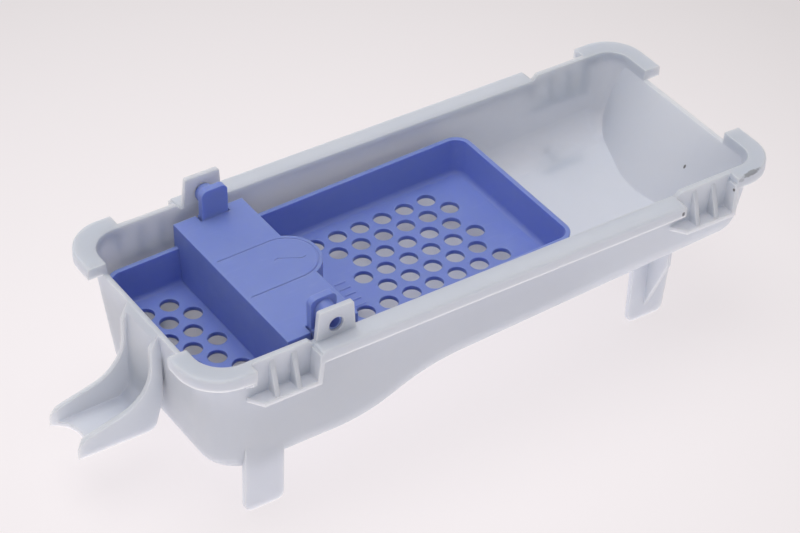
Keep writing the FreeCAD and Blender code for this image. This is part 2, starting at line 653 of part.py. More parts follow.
def make_feet():
    """Front feet; the back ones are mirrored."""
    left = new_body("foot_left")
    plan = new_sketch(left, "foot_left_side", "XZ_Plane", "foot_l_y - foot_plate")
    rounded_box(plan, "-foot_l_x", "foot_l_run - foot_l_x", "-foot_depth", "-tub_depth * 0.7", "foot_round")
    pad(left, "foot_left_pad", plan, "foot_plate")
    right = new_body("foot_right")
    head = "wall - floor_depth + foot_r_x * tan(floor_fall * 1 deg)"
    plan = new_sketch(right, "foot_right_side", "XZ_Plane", "foot_r_y - foot_plate")
    outline(plan, [("foot_r_x", "-foot_depth"), ("foot_r_x + foot_r_run", "-foot_depth"),
                   ("foot_r_x + foot_r_run + foot_r_flare", head), ("foot_r_x", head)])
    plate = pad(right, "foot_right_pad", plan, "foot_plate")
    sole = -val("foot_depth")

    def sole_corner(edge):
        low = all(abs(v.Z - sole) < 1e-3 for v in edge.Vertexes)
        return low and abs(edge.Vertexes[0].X - edge.Vertexes[-1].X) < 1e-3

    round_edges(right, "foot_right_round", plate, edge_names(plate.Shape, sole_corner), "foot_round")
    web = new_sketch(right, "foot_right_web", "YZ_Plane", "foot_r_x + (foot_r_run - clip_plate) / 2")
    outline(web, [("foot_plate / 2 - foot_r_y", "foot_web_end - foot_depth"),
                  ("foot_plate / 2 - foot_r_y", head),
                  ("-(foot_r_y + foot_web)", head + " + foot_web / 2"),
                  ("-(foot_r_y + foot_web)", head + " - foot_web / 3"),
                  ("-foot_r_y", "foot_web_end - foot_depth")])
    pad(right, "foot_right_web_pad", web, "clip_plate")
    return left, right


def make_clip(name, start, reach):
    """Front clip pocket: ledge, cheek at its right end and two ribs; start is the pocket's left end.

    The cheek's top reaches as far beyond the long wall as the cap or rail next to it.
    """
    body = new_body(name)
    root = "wall - tub_width / 2 + clip_plate / 10"
    edge = "-rim_width / 2"
    ledge = new_sketch(body, name + "_ledge", "XY_Plane", "-clip_drop")
    outline(ledge, [(start + " + clip_start", edge), (start + " + clip_run + clip_plate / 2", edge),
                    (start + " + clip_run + clip_plate / 2", root), (start + " - clip_plate", root)])
    pad(body, name + "_ledge_pad", ledge, "clip_plate")
    cheek = new_sketch(body, name + "_cheek", "YZ_Plane", start + " + clip_run - clip_plate / 2")
    rim = "-tub_width / 2 - " + reach
    outline(cheek, [(root, "-clip_drop"), (edge, "-clip_drop"), (rim, "-rail_drop - rim_drop"),
                    (rim, "-rail_drop - rim_round"), (root, "-rail_drop - rim_round")])
    pad(body, name + "_cheek_pad", cheek, "clip_plate")
    for letter in "ab":
        rib = new_sketch(body, name + "_rib_" + letter, "YZ_Plane",
                         start + " + clip_rib_%s - clip_plate / 2" % letter)
        tip, foot = edge + " + clip_plate / 4", "-clip_drop + clip_plate / 2"
        outline(rib, [(root, foot), (tip, foot), (tip, "-clip_drop + clip_plate"),
                      ("-tub_width / 2", "-rim_round * 2"), (root, "-rim_round * 2")])
        pad(body, name + "_rib_%s_pad" % letter, rib, "clip_plate")
    return body


def make_gusset(name, start):
    """Small stay under the rim's end at the open side of a clip pocket."""
    body = new_body(name)
    side = new_sketch(body, name + "_side", "YZ_Plane", start + " - clip_plate")
    outline(side, [("wall - tub_width / 2 + clip_plate / 10", "-rim_drop / 2"),
                   ("wall - tub_width / 2 + clip_plate / 10", "-clip_drop * 0.7"),
                   ("-rim_width / 2 + rim_lip / 4", "-rim_drop - clip_plate"),
                   ("-rim_width / 2 + rim_lip / 4", "-rim_drop / 2")])
    pad(body, name + "_pad", side, "clip_plate")
    return body


def make_ear():
    body = new_body("ear_front")
    side = new_sketch(body, "ear_side", "XZ_Plane", "tub_width / 2 - wall")
    foot = "-rail_drop - rim_plate"
    outline(side, [("-ear_x - ear_width / 2 - ear_flare", foot), ("ear_width / 2 + ear_flare - ear_x", foot),
                   ("ear_width / 2 - ear_x", "ear_top"), ("-ear_x - ear_width / 2", "ear_top")])
    ring = side.addGeometry(Part.Circle(Vector(-val("ear_x"), val("ear_z"), 0), Vector(0, 0, 1),
                                        val("ear_bore / 2")), False)
    at(side, ring, 3, "-ear_x", "ear_z")
    fix(side, "Radius", (ring,), "ear_bore / 2")
    plate = pad(body, "ear_pad", side, "wall")
    top = val("ear_top")

    def top_corner(edge):
        high = all(abs(v.Z - top) < 1e-3 for v in edge.Vertexes)
        return high and abs(edge.Vertexes[0].X - edge.Vertexes[-1].X) < 1e-3

    round_edges(body, "ear_corners", plate, edge_names(plate.Shape, top_corner), "ear_round")
    return body


def make_end_notch(name, left):
    """Space above the lowered end wall."""
    shape = doc.addObject("Part::Box", name)
    bind(shape, "Length", "rim_length / 4")
    gap = "end_gap" if left else "end_gap_r"
    bind(shape, "Width", gap)
    bind(shape, "Height", "rim_drop * 2")
    near = "tub_length / 2 - wall * 4"
    bind(shape, "Placement.Base.x", "-(%s) - rim_length / 4" % near if left else near)
    bind(shape, "Placement.Base.y", "-%s / 2" % gap)
    bind(shape, "Placement.Base.z", "-rim_drop")
    return shape


def make_trough():
    behind = make_recess("recess_outer", "wall * bulge_skew")
    walls = cut("trough_walls", make_form("outer_form", "0"), behind)
    hollow = cut("trough_hollow", make_form("inner_form", "wall"), make_recess("recess_inner", "0"))
    front = list(make_feet())
    front.append(make_clip("clip_right", "clip_x", "rim_side"))
    front.append(make_clip("clip_left", "-clip_x - clip_run", "rail_side"))
    front += [make_gusset("gusset_right", "clip_x"), make_gusset("gusset_left", "-clip_x - clip_run")]
    front += [make_rail(), make_ear()]
    doc.recompute()
    back = [mirrored(item.Name + "_back", item) for item in front]
    shell = cut("trough_shell", fuse("walls_and_rim", [walls, make_rim()]), make_rail_space())
    solid = fuse("trough_solid", [shell, make_spout()] + front + back)
    doc.recompute()
    body = cut("trough_open", solid, hollow)
    notches = fuse("end_notches", [make_end_notch("notch_left", True), make_end_notch("notch_right", False)])
    result = cut("trough", body, notches)
    bind(result, "Placement.Base.x", "spout_tip / 2 - rim_length / 4")
    bind(result, "Placement.Base.z", "foot_depth")
    doc.recompute()
    return result


def tray_holes(sketch):
    """Sieve holes in staggered rows; row numbers run from the middle row, which is 0."""
    spots = []
    for row in range(-3, 4):
        odd = row % 2 == 0
        if odd:
            first = {-2: -1, 0: 0, 2: 0}[row]
            columns = ["-hole_right - hole_dx / 2 + %d * hole_dx" % k for k in range(first, 6)]
        else:
            first = {-3: -1, -1: 0, 1: 0, 3: -1}[row]
            columns = ["-hole_right + %d * hole_dx" % k for k in range(first, 5)]
        if odd:
            columns += ["-hole_left + %s * hole_dx" % k for k in ("-0.5", "0.5")]
        else:
            columns += ["-hole_left + %d * hole_dx" % k for k in (-1, 0)]
        spots += [(x, "%d * hole_dy" % row) for x in columns]
    first = None
    for x, y in spots:
        circle = Part.Circle(Vector(val(x), val(y), 0), Vector(0, 0, 1), val("hole_bore / 2"))
        ring = sketch.addGeometry(circle, False)
        at(sketch, ring, 3, x, y)
        if first is None:
            first = ring
            fix(sketch, "Radius", (ring,), "hole_bore / 2")
        else:
            sketch.addConstraint(Sketcher.Constraint("Equal", first, ring))


def bridge_outline(sketch, inset):
    """Bridge block with its round front, drawn inwards by inset."""
    x0, x1 = -val("bridge_left - (%s)" % inset), -val("bridge_right + (%s)" % inset)
    y = val("bridge_width / 2 - (%s)" % inset)
    r = val("dome_radius - (%s)" % inset)
    xd = -val("dome_x")
    yd = math.sqrt(r * r - (x1 - xd) ** 2)
    turn = math.degrees(math.atan2(yd, x1 - xd))
    front = line(sketch, (x0, -y), (x1, -y))
    low = line(sketch, (x1, -y), (x1, -yd))
    dome = arc(sketch, (xd, 0), r, -turn, turn)
    high = line(sketch, (x1, yd), (x1, y))
    back = line(sketch, (x1, y), (x0, y))
    left = line(sketch, (x0, y), (x0, -y))
    join(sketch, front, 2, low, 1)
    join(sketch, low, 2, dome, 1)
    join(sketch, dome, 2, high, 1)
    join(sketch, high, 2, back, 1)
    join(sketch, back, 2, left, 1)
    join(sketch, left, 2, front, 1)
    for geo, kind in ((front, "Horizontal"), (low, "Vertical"), (high, "Vertical"), (back, "Horizontal"),
                      (left, "Vertical")):
        sketch.addConstraint(Sketcher.Constraint(kind, geo))
    at(sketch, dome, 3, "-dome_x", "0")
    fix(sketch, "Radius", (dome,), "dome_radius - (%s)" % inset)
    at(sketch, front, 1, "%s - bridge_left" % inset, "%s - bridge_width / 2" % inset)
    at(sketch, high, 2, "-bridge_right - (%s)" % inset, "bridge_width / 2 - (%s)" % inset)
    sketch.addConstraint(Sketcher.Constraint("Vertical", low, 1, high, 2))


def mark_outline(sketch):
    """Thin finger-shaped line on the bridge top, running round the dome's centre."""
    ro = val("dome_radius - mark_inset")
    ri = val("dome_radius - mark_inset - mark_width")
    xd = -val("dome_x")
    xs = -val("bridge_left - mark_inset * 2")
    a = line(sketch, (xs, -ro), (xd, -ro))
    b = arc(sketch, (xd, 0), ro, -90, 90)
    c = line(sketch, (xd, ro), (xs, ro))
    d = line(sketch, (xs, ro), (xs, ri))
    e = line(sketch, (xs, ri), (xd, ri))
    f = arc(sketch, (xd, 0), ri, -90, 90)
    g = line(sketch, (xd, -ri), (xs, -ri))
    h = line(sketch, (xs, -ri), (xs, -ro))
    join(sketch, a, 2, b, 1, True)
    join(sketch, b, 2, c, 1, True)
    join(sketch, c, 2, d, 1)
    join(sketch, d, 2, e, 1)
    join(sketch, e, 2, f, 2, True)
    join(sketch, f, 1, g, 1, True)
    join(sketch, g, 2, h, 1)
    join(sketch, h, 2, a, 1)
    for geo in (a, c, e, g):
        sketch.addConstraint(Sketcher.Constraint("Horizontal", geo))
    for geo in (d, h):
        sketch.addConstraint(Sketcher.Constraint("Vertical", geo))
    at(sketch, b, 3, "-dome_x", "0")
    sketch.addConstraint(Sketcher.Constraint("Coincident", b, 3, f, 3))
    fix(sketch, "Radius", (b,), "dome_radius - mark_inset")
    fix(sketch, "Radius", (f,), "dome_radius - mark_inset - mark_width")
    at(sketch, a, 1, "mark_inset * 2 - bridge_left", None)
    at(sketch, c, 2, "mark_inset * 2 - bridge_left", None)


def make_tray():
    body = new_body("sieve_tray")
    low = "tray_rim + tray_deep + skin"
    rim = new_sketch(body, "tray_rim_plan", "XY_Plane", "-tray_rim")
    rounded_box(rim, "-tray_left", "tray_right", "-tray_width / 2", "tray_width / 2", "tray_radius")
    base = new_sketch(body, "tray_base_plan", "XY_Plane", "-(%s)" % low)
    rounded_box(base, "tray_draft - tray_left", "tray_right - tray_draft", "tray_draft - tray_width / 2",
                "tray_width / 2 - tray_draft", "tray_radius")
    shell = body.newObject("PartDesign::AdditiveLoft", "tray_shell")
    shell.Profile = rim
    shell.Sections = [base]
    shell.Ruled = True
    doc.recompute()
    mouth = new_sketch(body, "tray_mouth_plan", "XY_Plane", "-tray_rim")
    rounded_box(mouth, "skin - tray_left", "tray_right - skin", "skin - tray_width / 2",
                "tray_width / 2 - skin", "tray_radius - skin")
    floor = new_sketch(body, "tray_floor_plan", "XY_Plane", "-(tray_rim + tray_deep)")
    inner = "skin + tray_draft * tray_deep / (tray_deep + skin)"
    rounded_box(floor, "%s - tray_left" % inner, "tray_right - (%s)" % inner, "%s - tray_width / 2" % inner,
                "tray_width / 2 - (%s)" % inner, "tray_radius - skin")
    hollow = body.newObject("PartDesign::SubtractiveLoft", "tray_hollow")
    hollow.Profile = mouth
    hollow.Sections = [floor]
    hollow.Ruled = True
    doc.recompute()
    deep = -val("tray_rim + tray_deep")
    coves = edge_names(hollow.Shape, lambda edge: all(abs(v.Z - deep) < 1e-3 for v in edge.Vertexes))
    round_edges(body, "tray_cove_round", hollow, coves, "tray_cove")

    block = new_sketch(body, "bridge_plan", "XY_Plane", "-bridge_top")
    bridge_outline(block, "0")
    pad(body, "bridge_block", block, low + " - bridge_top", True)
    inside = new_sketch(body, "bridge_inside", "XY_Plane", "-(%s)" % low)
    bridge_outline(inside, "skin")
    pocket(body, "bridge_hollow", inside, low + " - bridge_top - skin", True)

    slits = new_sketch(body, "slit_plan", "XY_Plane", "-bridge_top")
    for x0, x1 in (("-ear_x - tab_width / 2 - slit_width", "-ear_x - tab_width / 2"),
                   ("tab_width / 2 - ear_x", "tab_width / 2 + slit_width - ear_x")):
        box_outline(slits, x0, x1, "bridge_width / 2 - tab_in - tab_plate", "bridge_width")
        box_outline(slits, x0, x1, "-bridge_width", "tab_in + tab_plate - bridge_width / 2")
    pocket(body, "slit_cut", slits, "slit_deep")

    holes = new_sketch(body, "hole_plan", "XY_Plane", "-(tray_rim + tray_deep)")
    tray_holes(holes)
    pocket(body, "hole_cut", holes, "skin * 2")

    marks = new_sketch(body, "mark_plan", "XY_Plane", "-bridge_top")
    mark_outline(marks)
    pocket(body, "mark_cut", marks, "mark_depth")
    wave = new_sketch(body, "wave_plan", "XY_Plane", "-bridge_top")
    bends = ((-0.38, 0.10), (-0.22, 0.15), (0.0, 0.02), (0.24, -0.12), (0.42, -0.24), (0.60, -0.22))
    spots = [(x, y + 0.02) for x, y in bends] + [(x, y - 0.02) for x, y in reversed(bends)]
    outline(wave, [("%.2f * wave_run - dome_x" % x, "%.2f * wave_run" % y) for x, y in spots])
    pocket(body, "wave_cut", wave, "mark_depth")

    ticks = new_sketch(body, "tick_plan", "XY_Plane", "-(tray_rim + tray_deep)")
    for k in range(5):
        tick = "mark_width * %.1f" % (6.1 * k - 2.4)
        box_outline(ticks, "-hole_right - hole_dx * 1.65", "-hole_right - hole_dx * 1.2", "-" + tick,
                    "mark_width - " + tick)
    pad(body, "tick_pad", ticks, "mark_depth")

    tab = new_sketch(body, "tab_side", "XZ_Plane", "bridge_width / 2 - tab_in - tab_plate")
    rounded_box(tab, "-ear_x - tab_width / 2", "tab_width / 2 - ear_x",
                "-(bridge_top + slit_deep + tab_round)", "tab_top", "tab_round")
    tab_pad = pad(body, "tab_pad", tab, "tab_plate")
    reach = "tub_width / 2 - wall - pad_gap"
    snap = new_sketch(body, "snap_side", "XZ_Plane", "bridge_width / 2 - tab_in - tab_plate / 4")
    rounded_box(snap, "-ear_x - pad_width / 2", "pad_width / 2 - ear_x", "ear_z - ear_bore", "pad_top",
                "pad_width * 0.49")
    seat = new_sketch(body, "snap_seat", "XZ_Plane", reach)
    ring = "(ear_bore / 2 + pad_ring)"
    rounded_box(seat, "-ear_x - " + ring, ring + " - ear_x", "ear_z - " + ring, "ear_z + " + ring,
                ring + " * 0.96")
    snap_pad = body.newObject("PartDesign::AdditiveLoft", "snap_pad")
    snap_pad.Profile = snap
    snap_pad.Sections = [seat]
    snap_pad.Ruled = True
    doc.recompute()
    peg = new_sketch(body, "peg_side", "XZ_Plane", reach)
    ring = peg.addGeometry(Part.Circle(Vector(-val("ear_x"), val("ear_z"), 0), Vector(0, 0, 1),
                                       val("ear_bore / 2 - peg_gap")), False)
    at(peg, ring, 3, "-ear_x", "ear_z")
    fix(peg, "Radius", (ring,), "ear_bore / 2 - peg_gap")
    peg_pad = pad(body, "peg_pad", peg, "pad_gap + wall - peg_short")
    core = new_sketch(body, "peg_core_side", "XZ_Plane", reach + " + pad_gap + wall - peg_short")
    bore = "ear_bore / 2 - peg_gap - peg_wall"
    circle = Part.Circle(Vector(-val("ear_x"), val("ear_z"), 0), Vector(0, 0, 1), val(bore))
    ring = core.addGeometry(circle, False)
    at(core, ring, 3, "-ear_x", "ear_z")
    fix(core, "Radius", (ring,), bore)
    core_cut = pocket(body, "peg_core_cut", core, "peg_core")
    twin = body.newObject("PartDesign::Mirrored", "tab_twin")
    twin.Originals = [tab_pad, snap_pad, peg_pad, core_cut]
    twin.MirrorPlane = (origin_plane(body, "XZ_Plane"), [""])
    body.Tip = twin
    doc.recompute()
    bind(body, "Placement", "placement(vector(spout_tip / 2 - rim_length / 4; 0; foot_depth);"
         " rotation(vector(0; 1; 0); -tilt); vector(-ear_x; 0; ear_z))")
    doc.recompute()
    return body


trough = make_trough()
tray = make_tray()
doc.recompute()

for obj in doc.Objects:
    if "Invalid" in obj.State or "Error" in obj.State:
        raise RuntimeError("%s did not rebuild" % obj.Name)
os.makedirs("parts", exist_ok=True)
for obj, label in ((trough, "trough"), (tray, "sieve_tray")):
    obj.Label = label
    shape = obj.Shape
    if shape.isNull() or not shape.isValid() or len(shape.Solids) != 1:
        raise RuntimeError("%s is not one sound solid: %d" % (label, len(shape.Solids)))
    shape.exportStep("parts/%s.step" % label)
    print(label, round(shape.Volume), shape.optimalBoundingBox(False))
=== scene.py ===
# %% [markdown]
# # Looks for a detergent dispenser drawer
# The drawer is two injection mouldings: a white trough with its rim, feet, clips and pouring spout, and a
# blue sieve tray that hangs on two pegs and tips up for rinsing. Both shapes come finished from the CAD
# model, so this lesson is about what makes plain plastic look like plastic: a colour that drifts a little
# with the flow of the melt, a gloss that the mould's polish gave, a fine grain, corners that catch the
# light, and the marks of use.

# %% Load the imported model
import math

import bpy
from mathutils import Matrix, Vector


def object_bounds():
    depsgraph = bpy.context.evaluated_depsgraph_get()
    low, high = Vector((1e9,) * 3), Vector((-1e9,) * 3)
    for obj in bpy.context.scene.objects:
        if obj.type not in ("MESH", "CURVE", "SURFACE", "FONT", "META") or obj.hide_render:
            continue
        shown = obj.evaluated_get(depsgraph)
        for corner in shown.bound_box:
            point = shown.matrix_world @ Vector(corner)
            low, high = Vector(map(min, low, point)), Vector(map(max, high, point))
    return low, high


MM = 0.001
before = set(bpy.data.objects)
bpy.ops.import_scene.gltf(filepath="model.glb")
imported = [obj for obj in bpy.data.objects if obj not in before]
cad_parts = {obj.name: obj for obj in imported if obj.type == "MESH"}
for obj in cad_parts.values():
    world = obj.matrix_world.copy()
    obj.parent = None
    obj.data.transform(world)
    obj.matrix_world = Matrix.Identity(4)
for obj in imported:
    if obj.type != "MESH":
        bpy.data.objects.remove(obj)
cad_low, cad_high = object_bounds()
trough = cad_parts["trough"]
sieve_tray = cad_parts["sieve_tray"]
print("CAD box in mm:", [round(side / MM, 1) for side in cad_high - cad_low])

# %% [markdown]
# ## A few small helpers
# Shader colours are linear numbers, but a colour is easier to read and compare as the sRGB hex value of a
# picture program. One function turns the one into the other. A second adds a node, its settings and its
# links in one line, so that each finish below reads from top to bottom like a recipe. A third gives a
# pattern its scale from a real size in millimetres, and the last starts a material with the object's own
# coordinates, which its patterns follow.

# %% Helpers
# The Mix node has sockets for every kind of value, and these are the numbers of its sockets for colours.
MIX_SHARE, MIX_FIRST, MIX_SECOND = 0, 6, 7
MIX_RESULT = 2


def linear(hex_colour):
    """An sRGB hex colour as the linear colour with alpha that a shader socket takes."""
    levels = [int(hex_colour[start:start + 2], 16) / 255 for start in (1, 3, 5)]
    return [v / 12.92 if v <= 0.04045 else ((v + 0.055) / 1.055) ** 2.4 for v in levels] + [1.0]


def add(tree, kind, links, **settings):
    """One node: settings are its properties, and links give each input a value or another node's output."""
    node = tree.nodes.new(kind)
    for name, value in settings.items():
        setattr(node, name, value)
    for socket, value in links.items():
        if isinstance(value, bpy.types.NodeSocket):
            tree.links.new(value, node.inputs[socket])
        else:
            node.inputs[socket].default_value = value
    return node


def per_metre(size_mm):
    """The Scale of a noise whose blotches are about that wide."""
    return 1 / (size_mm * MM)


def new_material(name):
    """A material to fill: the material, its node tree and the place on the object that patterns follow."""
    material = bpy.data.materials.new(name)
    material.use_nodes = True
    tree = material.node_tree
    tree.nodes.clear()
    place = add(tree, "ShaderNodeTexCoord", {}).outputs["Object"]
    return material, tree, place


print("#808080 is", round(linear("#808080")[0], 3), "in linear light")

# %% [markdown]
# ## White moulded polypropylene: the trough
# Washing-machine drawers are moulded in polypropylene, a waxy plastic that lets a little light in and comes
# out of a polished tool with a soft gloss. Nothing is printed or painted on it. What the eye reads as plastic
# is slight: the white drifts between two close tones where the melt flowed, the gloss is uneven at the scale
# of a fingertip, and no edge is truly sharp. A texture painted by hand would need unwrapped meshes, so
# everything here comes from noise in the object's own coordinates, which stay with the piece when it moves.

# %% Colour and gloss of the white polypropylene
GLOSS_DETAIL = 4.0
GLOSS_NOISE_LOW, GLOSS_NOISE_HIGH = 0.3, 0.7


def flow_tone(tree, place, blotch_mm, detail, tones):
    """A colour that drifts between two tones, as the melt flowed."""
    flow = add(tree, "ShaderNodeTexNoise", {"Vector": place, "Scale": per_metre(blotch_mm), "Detail": detail})
    first, second = (linear(tone) for tone in tones)
    drift = add(tree, "ShaderNodeMix", {MIX_SHARE: flow.outputs["Fac"], MIX_FIRST: first, MIX_SECOND: second},
                data_type="RGBA")
    return drift.outputs[MIX_RESULT]


def handled_gloss(tree, place, blotch_mm, smooth, dull):
    """A roughness that wanders between two values, as polish and handling left it."""
    handling = add(tree, "ShaderNodeTexNoise", {"Vector": place, "Scale": per_metre(blotch_mm),
                                                "Detail": GLOSS_DETAIL})
    gloss = add(tree, "ShaderNodeMapRange", {"Value": handling.outputs["Fac"], "From Min": GLOSS_NOISE_LOW,
                                             "From Max": GLOSS_NOISE_HIGH, "To Min": smooth, "To Max": dull})
    return gloss.outputs["Result"]


white_pp, tree, place = new_material("polypropylene_white_moulded")
tone = flow_tone(tree, place, blotch_mm=38, detail=3.0, tones=("#CDD2DB", "#C7CDD7"))
gloss = handled_gloss(tree, place, blotch_mm=9, smooth=0.30, dull=0.42)
print("white tone and gloss:", len(tree.nodes), "nodes")

# %% [markdown]
# ## Soft edges and the grain of the mould
# A tool is cut with a small radius at every edge, and a moulded corner shows it as a thin line of light.
# Rounding all of them in the mesh would take thousands of faces, so the ones too small to model are rounded
# in the shading: the Bevel node bends the normal near an edge. How far it bends also tells where the edges
# are, and there the colour is painted a little paler, a painted highlight along the edge. The grain of a
# spark-eroded tool is about 0.1 mm, too fine for this picture, so it is drawn at 0.6 mm and kept very
# shallow.

# %% Edges and grain of the white polypropylene
# Cosines of the bend at which the painted edge highlight starts and is full.
EDGE_HIGHLIGHT_STARTS, EDGE_HIGHLIGHT_FULL = 0.985, 0.80
BEVEL_SAMPLES = 6
GRAIN_MM = 0.6
GRAIN_DEPTH_MM = 0.05
GRAIN_DETAIL = 2.0


def soft_edges(tree, tone, radius_mm, painted_highlight_tone, strength):
    """The normal rounded at the edges, and the tone painted paler there: a painted highlight."""
    soft_edge = add(tree, "ShaderNodeBevel", {"Radius": radius_mm * MM}, samples=BEVEL_SAMPLES)
    rounded = soft_edge.outputs["Normal"]
    flat = add(tree, "ShaderNodeNewGeometry", {}).outputs["Normal"]
    turned = add(tree, "ShaderNodeVectorMath", {0: rounded, 1: flat}, operation="DOT_PRODUCT")
    painted_edge_highlight = add(tree, "ShaderNodeMapRange", {"Value": turned.outputs["Value"], "From Min": EDGE_HIGHLIGHT_STARTS,
                                              "From Max": EDGE_HIGHLIGHT_FULL, "To Min": 0.0, "To Max": strength})
    edged = add(tree, "ShaderNodeMix", {MIX_SHARE: painted_edge_highlight.outputs["Result"], MIX_FIRST: tone,
                                        MIX_SECOND: linear(painted_highlight_tone)}, data_type="RGBA")
    return rounded, edged.outputs[MIX_RESULT]


def mould_grain(tree, place, normal, strength):
    """The normal with the grain of the mould on it."""
    grain = add(tree, "ShaderNodeTexNoise", {"Vector": place, "Scale": per_metre(GRAIN_MM),
                                             "Detail": GRAIN_DETAIL})
    surface = add(tree, "ShaderNodeBump", {"Height": grain.outputs["Fac"], "Strength": strength,
                                           "Distance": GRAIN_DEPTH_MM * MM, "Normal": normal})
    return surface.outputs["Normal"]


# Painted highlight: the white is painted paler along every edge.
rounded, edged = soft_edges(tree, tone, radius_mm=0.7, painted_highlight_tone="#E0E4EA", strength=0.35)
surface = mould_grain(tree, place, rounded, strength=0.06)
print("with edges and grain:", len(tree.nodes), "nodes")

# %% [markdown]
# ## Marks of use
# The drawer in the photograph is clean but used: three dark specks of dried dirt sit at its right end, and a
# grey scuff, here two marks, runs along the outer edge of the front right cap. Each mark is an ellipsoid in
# the material's own space. A Mapping node set to Texture moves, turns and scales that ellipsoid to a unit
# ball, a little noise frays it, and what lies inside takes the colour of dirt. A separate decal would float
# above the plastic in other views, and this can't.

# %% Specks and scuff on the trough
MARKS = [
    # centre in mm, half sizes in mm, turn about Z in degrees, strength
    ((126.96, -14.65, 53.52), (0.8, 0.6, 1.1), 0, 0.8),
    ((120.3, -50.82, 67.62), (0.9, 0.8, 0.9), 0, 0.9),
    ((93.8, -53.1, 67.9), (0.8, 0.7, 1.0), 0, 0.75),
    ((127.8, -51.0, 72.8), (5.4, 1.4, 1.1), 7, 0.5),
    ((122.9, -51.7, 71.7), (1.6, 1.1, 1.1), 0, 0.25),
]
FRAY_MM = 1.1
FRAY_DETAIL = 3.0
# The frayed distance from a mark's centre, in its half sizes, at which the dirt ends and is full.
MARK_ENDS, MARK_FULL = 1.5, 1.1
DIRT_COLOUR = "#3A3838"
fray = add(tree, "ShaderNodeTexNoise", {"Vector": place, "Scale": per_metre(FRAY_MM), "Detail": FRAY_DETAIL})
dirt = 0.0
for centre, half, turn, strength in MARKS:
    ball = add(tree, "ShaderNodeMapping", {"Vector": place, "Location": [v * MM for v in centre],
                                           "Rotation": (0, 0, math.radians(turn)),
                                           "Scale": [v * MM for v in half]}, vector_type="TEXTURE")
    reach = add(tree, "ShaderNodeVectorMath", {0: ball.outputs["Vector"]}, operation="LENGTH")
    frayed = add(tree, "ShaderNodeMath", {0: reach.outputs["Value"], 1: fray.outputs["Fac"]}, operation="ADD")
    mark = add(tree, "ShaderNodeMapRange", {"Value": frayed.outputs["Value"], "From Min": MARK_ENDS,
                                            "From Max": MARK_FULL, "To Min": 0.0, "To Max": strength})
    darker = add(tree, "ShaderNodeMath", {0: dirt, 1: mark.outputs["Result"]}, operation="MAXIMUM")
    dirt = darker.outputs["Value"]
marked = add(tree, "ShaderNodeMix", {MIX_SHARE: dirt, MIX_FIRST: edged, MIX_SECOND: linear(DIRT_COLOUR)},
             data_type="RGBA")
print("marks on the trough:", len(MARKS))

# %% [markdown]
# ## Light inside the plastic
# On a bright sheet a thin wall of white polypropylene glows: light goes in, wanders a few millimetres and
# comes out again. That is subsurface scattering. Plain diffuse white would look painted, and real
# transparency would show the sheet through the wall, so the scattering does most of the work. Solid
# polypropylene has an IOR of 1.49.

# %% Finish of the trough
POLYPROPYLENE_IOR = 1.49


def finish_moulding(piece, material, colour, gloss, normal, light_in, reach_by_colour, reach_mm):
    """Close a material as waxy plastic, with a share of light that goes in, and put it on its piece."""
    tree = material.node_tree
    plastic = add(tree, "ShaderNodeBsdfPrincipled", {
        "Base Color": colour, "Roughness": gloss, "IOR": POLYPROPYLENE_IOR, "Normal": normal,
        "Subsurface Weight": light_in, "Subsurface Radius": reach_by_colour,
        "Subsurface Scale": reach_mm * MM})
    add(tree, "ShaderNodeOutputMaterial", {"Surface": plastic.outputs["BSDF"]})
    piece.data.materials.clear()
    piece.data.materials.append(material)
    print(piece.name, "is", material.name, "with", len(tree.nodes), "nodes")


finish_moulding(trough, white_pp, marked.outputs[MIX_RESULT], gloss, surface,
                light_in=1.0, reach_by_colour=(1.0, 0.95, 0.9), reach_mm=6.5)

# %% [markdown]
# ## Blue moulded polypropylene: the sieve tray
# The tray is the same plastic with a periwinkle pigment, from a tool with a duller finish, so it shows broad
# soft highlights and hardly any reflection. Pigment spreads less evenly than the base plastic, so the blue
# drifts a little more than the white did, and it stops light sooner. Short pale rub marks show where powder
# is scraped out. The recipe is the same, with its own colours, sizes and strengths.

# %% Blue polypropylene with a dull moulded finish
SCRAPE_MM = 12
SCRAPE_DETAIL = 5.0
SCRAPE_STRETCH = 7.0
SCRAPE_STARTS, SCRAPE_FULL = 0.60, 0.72
SCRAPE_STRENGTH = 0.10
SCRAPED_BLUE = "#A3B1E6"
blue_pp, tree, place = new_material("polypropylene_blue_moulded")
tone = flow_tone(tree, place, blotch_mm=24, detail=4.0, tones=("#7B8ED3", "#8496DA"))
gloss = handled_gloss(tree, place, blotch_mm=7, smooth=0.36, dull=0.5)
# Painted highlight: the blue is painted paler along every edge.
rounded, edged = soft_edges(tree, tone, radius_mm=0.6, painted_highlight_tone="#98A8E4", strength=0.3)
surface = mould_grain(tree, place, rounded, strength=0.10)
long_way = add(tree, "ShaderNodeMapping", {"Vector": place, "Scale": (1.0, SCRAPE_STRETCH, SCRAPE_STRETCH)})
scrape = add(tree, "ShaderNodeTexNoise", {"Vector": long_way.outputs["Vector"],
                                          "Scale": per_metre(SCRAPE_MM), "Detail": SCRAPE_DETAIL})
scratch = add(tree, "ShaderNodeMapRange", {"Value": scrape.outputs["Fac"], "From Min": SCRAPE_STARTS,
                                           "From Max": SCRAPE_FULL, "To Min": 0.0, "To Max": SCRAPE_STRENGTH})
worn = add(tree, "ShaderNodeMix", {MIX_SHARE: scratch.outputs["Result"], MIX_FIRST: edged,
                                   MIX_SECOND: linear(SCRAPED_BLUE)}, data_type="RGBA")
finish_moulding(sieve_tray, blue_pp, worn.outputs[MIX_RESULT], gloss, surface,
                light_in=0.8, reach_by_colour=(0.5, 0.6, 1.0), reach_mm=3)
